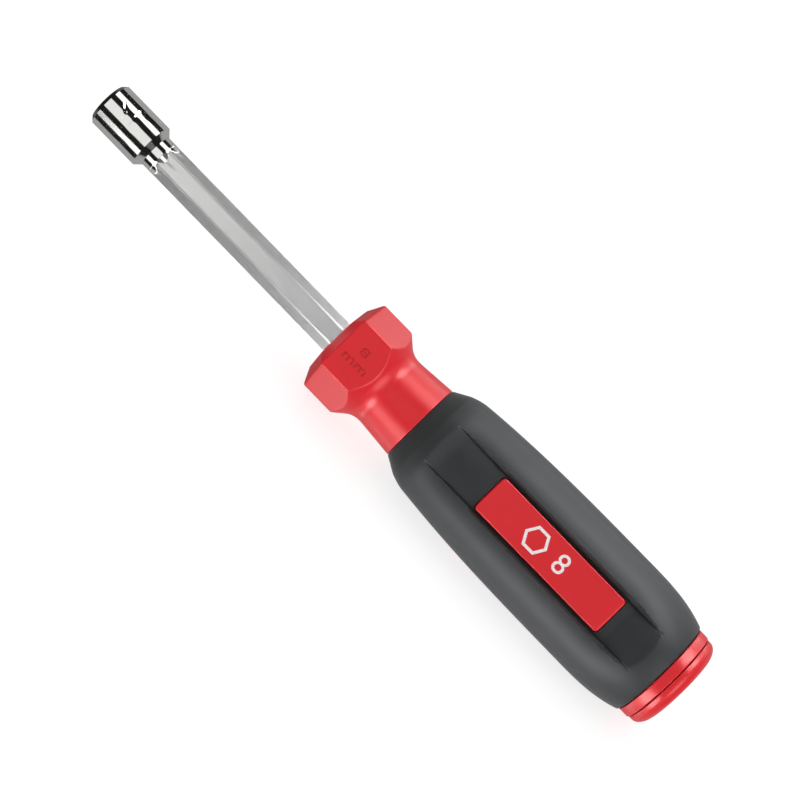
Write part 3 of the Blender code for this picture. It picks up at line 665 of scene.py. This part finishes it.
def make_grip():
    heights = np.concatenate((
        np.linspace(0, 0.35 * MM, 5),
        np.linspace(0.6 * MM, 14 * MM, 60),
        np.linspace(14.5 * MM, 58 * MM, 88),
        np.linspace(58.4 * MM, GRIP_LENGTH - 0.5 * MM, 62),
        np.linspace(GRIP_LENGTH - 0.4 * MM, GRIP_LENGTH, 6)))
    rings = []
    for z in heights:
        edge = 0.0
        for end in (z, GRIP_LENGTH - z):
            if end < GRIP_END_EDGE:
                edge = GRIP_END_EDGE - math.sqrt(GRIP_END_EDGE ** 2 - (GRIP_END_EDGE - end) ** 2)
        rings.append((grip_radius(z) - edge, GRIP_START + z))
    inside = UNDER_GRIP + SEAT_GAP
    rings += [
        (inside, GRIP_START + GRIP_LENGTH),
        (inside, GRIP_START + BAND_LENGTH),
        (GRIP_MOUTH_RADIUS, GRIP_START)]
    piece = mesh_object("soft_grip", skin("soft_grip", rings, CHANNEL_EDGES), RUBBER)
    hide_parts("grip_sleeve")
    cutter = bmesh.new()
    for valley in VALLEYS:
        add_slab(cutter, valley, SEAT_GAP, WINDOW_BOTTOM, WINDOW_TOP, 0.0)
    carve(piece, cutter, "label_windows")


def pad_outline(clearance, corner_steps=8):
    """Rounded rectangle, long way first."""
    half_length, half_width = PAD_LENGTH / 2 + clearance, PAD_WIDTH / 2 + clearance
    corner = PAD_CORNER + clearance
    outline = []
    for quarter, (x_sign, y_sign) in enumerate(((1, 1), (-1, 1), (-1, -1), (1, -1))):
        for step in range(corner_steps + 1):
            angle = math.radians(90 * quarter + 90 * step / corner_steps)
            outline.append((
                x_sign * (half_length - corner) + corner * math.cos(angle),
                y_sign * (half_width - corner) + corner * math.sin(angle)))
    return outline


def on_valley(valley, along, across, out):
    """Tool-space point at a height along the tool, a distance across a valley and one out from the axis."""
    return (
        out * math.cos(valley) + across * math.sin(valley),
        out * math.sin(valley) - across * math.cos(valley),
        along)


def add_slab(shape, valley, clearance, bottom, top, edge):
    """A label pad's slab, grown by a clearance, its outer edge rounded."""
    layers = [(bottom, 0.0)]
    if edge:
        for step in range(7):
            angle = math.pi / 2 * step / 6
            layers.append((top - edge * (1 - math.sin(angle)), edge * (1 - math.cos(angle))))
    else:
        layers.append((top, 0.0))
    rows = []
    for out, inset in layers:
        rows.append([
            shape.verts.new(on_valley(valley, PAD_MIDDLE + along, across, out))
            for along, across in pad_outline(clearance - inset)])
    join_rows(shape, rows)
    shape.faces.new(rows[0])
    shape.faces.new(rows[-1])


def carve(piece, cutter_shape, name):
    """Cut a closed shape out of a piece for good."""
    cutter = bpy.data.objects.new(name, finish_mesh(name, cutter_shape))
    bpy.context.scene.collection.objects.link(cutter)
    boolean = piece.modifiers.new(name, "BOOLEAN")
    boolean.operation = "DIFFERENCE"
    boolean.solver = "EXACT"
    boolean.object = cutter
    carved = bpy.data.meshes.new_from_object(piece.evaluated_get(bpy.context.evaluated_depsgraph_get()))
    piece.modifiers.clear()
    piece.data = carved
    carved.name = piece.name
    bpy.data.objects.remove(cutter, do_unlink=True)
    carved.shade_smooth()
    carved.set_sharp_from_angle(angle=math.radians(40))


def make_pads():
    for index, valley in enumerate(VALLEYS):
        shape = bmesh.new()
        add_slab(shape, valley, 0.0, UNDER_GRIP - PAD_ROOT, PAD_TOP, PAD_EDGE)
        name = f"label_pad_{index}"
        mesh_object(name, finish_mesh(name, shape), RED)


def lettering(text, size, depth, width_share=1.0):
    """Closed letter shapes, centred, in a flat frame of their own."""
    font = bpy.data.curves.new("lettering", "FONT")
    font.body = text
    font.size = size
    font.extrude = depth / 2
    font.align_x = "CENTER"
    font.align_y = "CENTER"
    font.resolution_u = 6
    holder = bpy.data.objects.new("lettering", font)
    bpy.context.scene.collection.objects.link(holder)
    mesh = bpy.data.meshes.new_from_object(holder.evaluated_get(bpy.context.evaluated_depsgraph_get()))
    bpy.data.objects.remove(holder, do_unlink=True)
    shape = bmesh.new()
    shape.from_mesh(mesh)
    bpy.data.meshes.remove(mesh)
    bmesh.ops.remove_doubles(shape, verts=shape.verts, dist=0.002 * MM)
    bmesh.ops.scale(shape, vec=(width_share, 1, 1), verts=shape.verts)
    return shape


def valley_frame(valley, along, across, out):
    """Matrix that stands a flat frame on a valley, reading from the socket towards the cap."""
    point = on_valley(valley, along, across, out)
    return Matrix((
        (0, math.sin(valley), math.cos(valley), point[0]),
        (0, -math.cos(valley), math.sin(valley), point[1]),
        (1, 0, 0, point[2]),
        (0, 0, 0, 1)))


def deboss_size(handle):
    """The nut size, sunk into the bolster's flat."""
    cutter = bmesh.new()
    for text, size, width_share, across in MARK_TEXTS:
        letters = lettering(text, size, MARK_CUT, width_share)
        letters.transform(valley_frame(CAMERA_VALLEY, MARK_MIDDLE, across, VALLEY_FLAT))
        spare = bpy.data.meshes.new("letters")
        letters.to_mesh(spare)
        letters.free()
        cutter.from_mesh(spare)
        bpy.data.meshes.remove(spare)
    carve(handle, cutter, "size_mark")


def add_hexagon_outline(shape):
    """A flat hexagonal ring, like a nut seen from above, beside the digit."""
    rings = []
    for radius in (HEXAGON_OUTER, HEXAGON_INNER):
        for side in (-1, 1):
            rings.append([
                shape.verts.new((
                    HEXAGON_PLACE + radius * math.cos(math.tau * corner / 6),
                    radius * math.sin(math.tau * corner / 6),
                    side * PRINT_THICKNESS / 2))
                for corner in range(6)])
    outer_low, outer_high, inner_low, inner_high = rings
    join_rows(shape, [outer_low, outer_high, inner_high, inner_low, outer_low])


def make_prints():
    """White print on each label pad: a hexagonal nut outline and the nut size."""
    for index, valley in enumerate(VALLEYS):
        shape = lettering("8", DIGIT_HEIGHT, PRINT_THICKNESS)
        shape.transform(Matrix.Translation((DIGIT_PLACE, 0, 0)))
        add_hexagon_outline(shape)
        shape.transform(valley_frame(valley, PAD_MIDDLE, 0, PAD_TOP + PRINT_LIFT))
        name = f"size_print_{index}"
        mesh_object(name, finish_mesh(name, shape, 30), PRINT)


def make_end_cap():
    dome = []
    for index in range(25):
        angle = math.pi / 2 * index / 24
        dome.append((
            CAP_FACE + (CAP_RADIUS - CAP_FACE) * math.sin(angle),
            CAP_START + CAP_BAND + (CAP_END - CAP_START - CAP_BAND) * math.cos(angle)))
    rings = [(1e-9, CAP_END), (4 * MM, CAP_END), *dome]
    rings += rounded([
        (CAP_RADIUS, CAP_START + 0.3 * MM, 0),
        (CAP_RADIUS, CAP_START, 0.15 * MM),
        (PLUG_RADIUS, CAP_START, 0),
        (PLUG_RADIUS, CAP_START - PLUG_LENGTH, 0),
        (PLUG_BORE, CAP_START - PLUG_LENGTH, 0),
        (PLUG_BORE, CAP_END - CAP_ROOF, 0),
        (1e-9, CAP_END - CAP_ROOF, 0)])
    piece = mesh_object("rear_cap", skin("rear_cap", rings, looped=False), RED)
    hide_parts("end_cap")


def repaint_hidden_nodes():
    looks = {
        "magnet_ring": principled("nickel_magnet", plain_metal_look((0.46, 0.46, 0.45, 1), 0.28, 0.40)),
        "magnet_retainer": principled("zinc_washer", plain_metal_look((0.60, 0.61, 0.62, 1), 0.25, 0.36)),
        "inner_core": principled("natural_nylon_look", nylon_look)}
    for node, material in looks.items():
        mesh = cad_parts[node].data
        mesh.materials.clear()
        mesh.materials.append(material)


make_socket()
make_shaft()
deboss_size(make_handle_body())
make_grip()
make_pads()
make_prints()
make_end_cap()
repaint_hidden_nodes()

# ---------------------------------------------------------------- camera, floor and light

CAMERA_DISTANCE = 620 * MM
CAMERA_ELEVATION = math.radians(28.56)
CAMERA_ROLL = math.radians(45.8)
CAMERA_LENS = 121.26
# Heights along the tool of the camera's place and of what it looks at, and how far that is above the axis
CAMERA_ALONG = 118.0 * MM
TARGET_ALONG = 96.64 * MM
TARGET_UP = 0.37 * MM

FLOOR_HALF = 4.0
FLOOR_DROP = 0.02 * MM
FLOOR_GREY = 0.28
FLOOR_GLOW = 0.80

TOWARDS_CAMERA = Vector((0, -math.cos(CAMERA_ELEVATION), math.sin(CAMERA_ELEVATION)))
UPWARDS = Vector((0, math.sin(CAMERA_ELEVATION), math.cos(CAMERA_ELEVATION)))

# What glossy rays see is a studio of cards, placed by direction. A card lies between two turns round the
# tool, in degrees to either side of the camera, and between two reaches, which are cosines to the tool's
# axis, negative towards the socket. Each of the four bounds is a pair of numbers between which it fades.
STRIP_TURNS = (48, 52, 73, 78)
WIDE_STRIP_TURNS = (43, 48, 73, 78)
BANK_TURNS = (73, 77, 118, 128)
SIDE_TURNS = (0, 0, 88, 96)
BANK_REACHES = (-0.54, -0.44, 0.46, 0.52)
BANK_GAPS = ((-0.32, -0.26, -0.038, -0.013), (0.055, 0.10, 0.25, 0.29))
BANK_STRENGTH = 8.3
PLAIN_CARDS = (
    # Strips that the shaft and the bolster see
    (STRIP_TURNS, (-0.156, -0.148, -0.046, -0.032), 0.6),
    (STRIP_TURNS, (-0.086, -0.066, -0.046, -0.032), 0.6),
    (WIDE_STRIP_TURNS, (-0.54, -0.44, -0.30, -0.26), 0.8),
    # An even grey for views from the sides
    (SIDE_TURNS, (-1.2, -1.1, -0.46, -0.38), 0.5),
    (SIDE_TURNS, (0.46, 0.54, 0.82, 0.90), 0.45),
    # White point where the collar runs out, grey on the socket's cone,
    # highlights behind the bolster and on the cap
    ((0, 0, 9, 12), (0.29, 0.31, 0.40, 0.43), 1.2),
    ((0, 0, 44, 48), (0.22, 0.27, 1.1, 1.2), 0.12),
    ((0, 0, 24, 32), (0.48, 0.56, 0.84, 0.92), 3.5))
STUDIO_DARK = 0.012


def make_camera():
    lens = bpy.data.cameras.new("camera")
    lens.sensor_width = 36.0
    lens.lens = CAMERA_LENS
    lens.clip_start = 0.05
    lens.clip_end = 20.0
    camera = bpy.data.objects.new("camera", lens)
    bpy.context.scene.collection.objects.link(camera)
    along = Vector((1, 0, 0))
    lift = Vector((0, 0, AXIS_Z)) + UPWARDS * TARGET_UP
    place = along * (MOUTH_X + CAMERA_ALONG) + lift + TOWARDS_CAMERA * CAMERA_DISTANCE
    back = (place - along * (MOUTH_X + TARGET_ALONG) - lift).normalized()
    across = (along - back * along.dot(back)).normalized()
    upwards = back.cross(across)
    right = across * math.cos(CAMERA_ROLL) + upwards * math.sin(CAMERA_ROLL)
    up = upwards * math.cos(CAMERA_ROLL) - across * math.sin(CAMERA_ROLL)
    camera.matrix_world = Matrix((
        (right.x, up.x, back.x, place.x),
        (right.y, up.y, back.y, place.y),
        (right.z, up.z, back.z, place.z),
        (0, 0, 0, 1)))
    bpy.context.scene.camera = camera


def make_floor():
    """Pale floor: it takes the tool's shadow, and the camera sees it as near white."""
    mesh = bpy.data.meshes.new("floor")
    half = FLOOR_HALF
    corners = [(-half, -half, 0), (half, -half, 0), (half, half, 0), (-half, half, 0)]
    mesh.from_pydata(corners, [], [(0, 1, 2, 3)])
    floor = bpy.data.objects.new("floor", mesh)
    floor.location.z = -FLOOR_DROP
    bpy.context.scene.collection.objects.link(floor)
    material = bpy.data.materials.new("pale_floor")
    nodes = Nodes(material)
    seen = nodes.add("ShaderNodeLightPath").outputs["Is Camera Ray"]
    paper = nodes.add("ShaderNodeBsdfDiffuse", {"Color": (FLOOR_GREY, FLOOR_GREY, FLOOR_GREY, 1)})
    glow = nodes.add("ShaderNodeEmission", {
        "Color": (1, 1, 1, 1), "Strength": nodes.product(seen, FLOOR_GLOW)})
    both = nodes.add("ShaderNodeAddShader", {0: paper.outputs[0], 1: glow.outputs[0]})
    nodes.add("ShaderNodeOutputMaterial", {"Surface": both.outputs[0]})
    mesh.materials.append(material)
    floor.visible_diffuse = False
    floor.visible_glossy = False
    floor.visible_shadow = False


def studio_strength(nodes, facing, rising, along):
    """Strength in each direction of the cards that glossy rays see, from its parts along three axes."""
    turn = nodes.product(nodes.math("ABSOLUTE", nodes.math("ARCTAN2", rising, facing)), 180 / math.pi)

    def card(turns, reaches, strength):
        low, low_end, high, high_end = turns
        first, first_end, last, last_end = reaches
        part = nodes.span(turn, high, high_end, 1, 0)
        if low_end > 0:
            part = nodes.product(part, nodes.span(turn, low, low_end))
        return nodes.product(
            part, nodes.span(along, first, first_end), nodes.span(along, last, last_end, 1, 0), strength)

    # Pale card round the camera, in full on the socket, fading over the shaft and dim on the handle
    studio = nodes.product(
        card((0, 0, 21, 24), (-0.46, -0.38, 0.18, 0.22), 0.82),
        nodes.span(along, -0.135, -0.065, 1.0, 0.34, "LINEAR"),
        nodes.span(along, -0.07, -0.03, 1.0, 0.3))
    # White strips on the socket and its collar, the lower one dimmer towards the mouth
    lower_strip = nodes.math(
        "MAXIMUM", nodes.span(along, -0.182, -0.174, 0.28, 1.0), nodes.span(rising, -0.02, 0.02))
    socket_strips = nodes.product(card(STRIP_TURNS, (-0.54, -0.44, -0.156, -0.148), 1.5), lower_strip)
    # Strips and side banks for the neck and the grip, kept out of the directions that the chrome and the
    # shaft see, and nearly out of those far along the tool, where they would burn out other views
    short_of_cap = nodes.span(along, 0.25, 0.33, 1.0, 0.1)
    short_of_mouth = nodes.span(along, -0.38, -0.30, 0.1, 1.0)
    grip_strips = nodes.product(card(WIDE_STRIP_TURNS, (-0.042, -0.030, 0.46, 0.54), 13.4), short_of_cap)
    banks = card(BANK_TURNS, BANK_REACHES, BANK_STRENGTH)
    for gap in BANK_GAPS:
        banks = nodes.math("SUBTRACT", banks, card(BANK_TURNS, gap, BANK_STRENGTH))
    banks = nodes.product(
        banks, nodes.span(rising, -0.05, 0.05, 0.65, 1.0), nodes.product(short_of_cap, short_of_mouth))
    # Grey backdrop behind the tool, darker past the socket's mouth
    backdrop = nodes.product(
        card((104, 107, 400, 401), (-0.9, -0.7, 0.7, 0.9), 0.33), nodes.span(along, -0.42, -0.26, 0.25, 1.0))
    for light in (socket_strips, grip_strips, banks, backdrop, *(card(*plain) for plain in PLAIN_CARDS)):
        studio = nodes.math("ADD", studio, light)
    return nodes.math("ADD", studio, STUDIO_DARK)


def make_light():
    """A soft room for diffuse rays, a studio of cards for glossy rays, and white for what the camera sees."""
    world = bpy.data.worlds.new("studio")
    bpy.context.scene.world = world
    nodes = Nodes(world)
    path = nodes.add("ShaderNodeLightPath")
    direction = nodes.add("ShaderNodeTexCoord").outputs["Generated"]
    facing = nodes.dot(direction, TOWARDS_CAMERA)
    rising = nodes.dot(direction, UPWARDS)
    along = nodes.dot(direction, (1, 0, 0))
    studio = studio_strength(nodes, facing, rising, along)
    # The soft light falls off towards the socket's end, less so above and below the line of sight
    mouth_end = nodes.span(nodes.math("ABSOLUTE", rising), 0.1, 0.7, 0.2, 0.9)
    soft = nodes.span(along, -0.75, 0.0, mouth_end, 1.08)
    seen = nodes.math("MAXIMUM", path.outputs["Is Camera Ray"], path.outputs["Is Transmission Ray"])
    strength = nodes.chosen(path.outputs["Is Glossy Ray"], soft, studio)
    strength = nodes.chosen(seen, strength, 1.0)
    background = nodes.add("ShaderNodeBackground", {"Color": (1, 1, 1, 1), "Strength": strength})
    nodes.add("ShaderNodeOutputWorld", {"Surface": background.outputs[0]})
    # Sampled as a light, the world would be read without its glossy part
    world.cycles.sampling_method = "NONE"


make_camera()
make_floor()
make_light()
bpy.context.scene.view_settings.view_transform = "Standard"
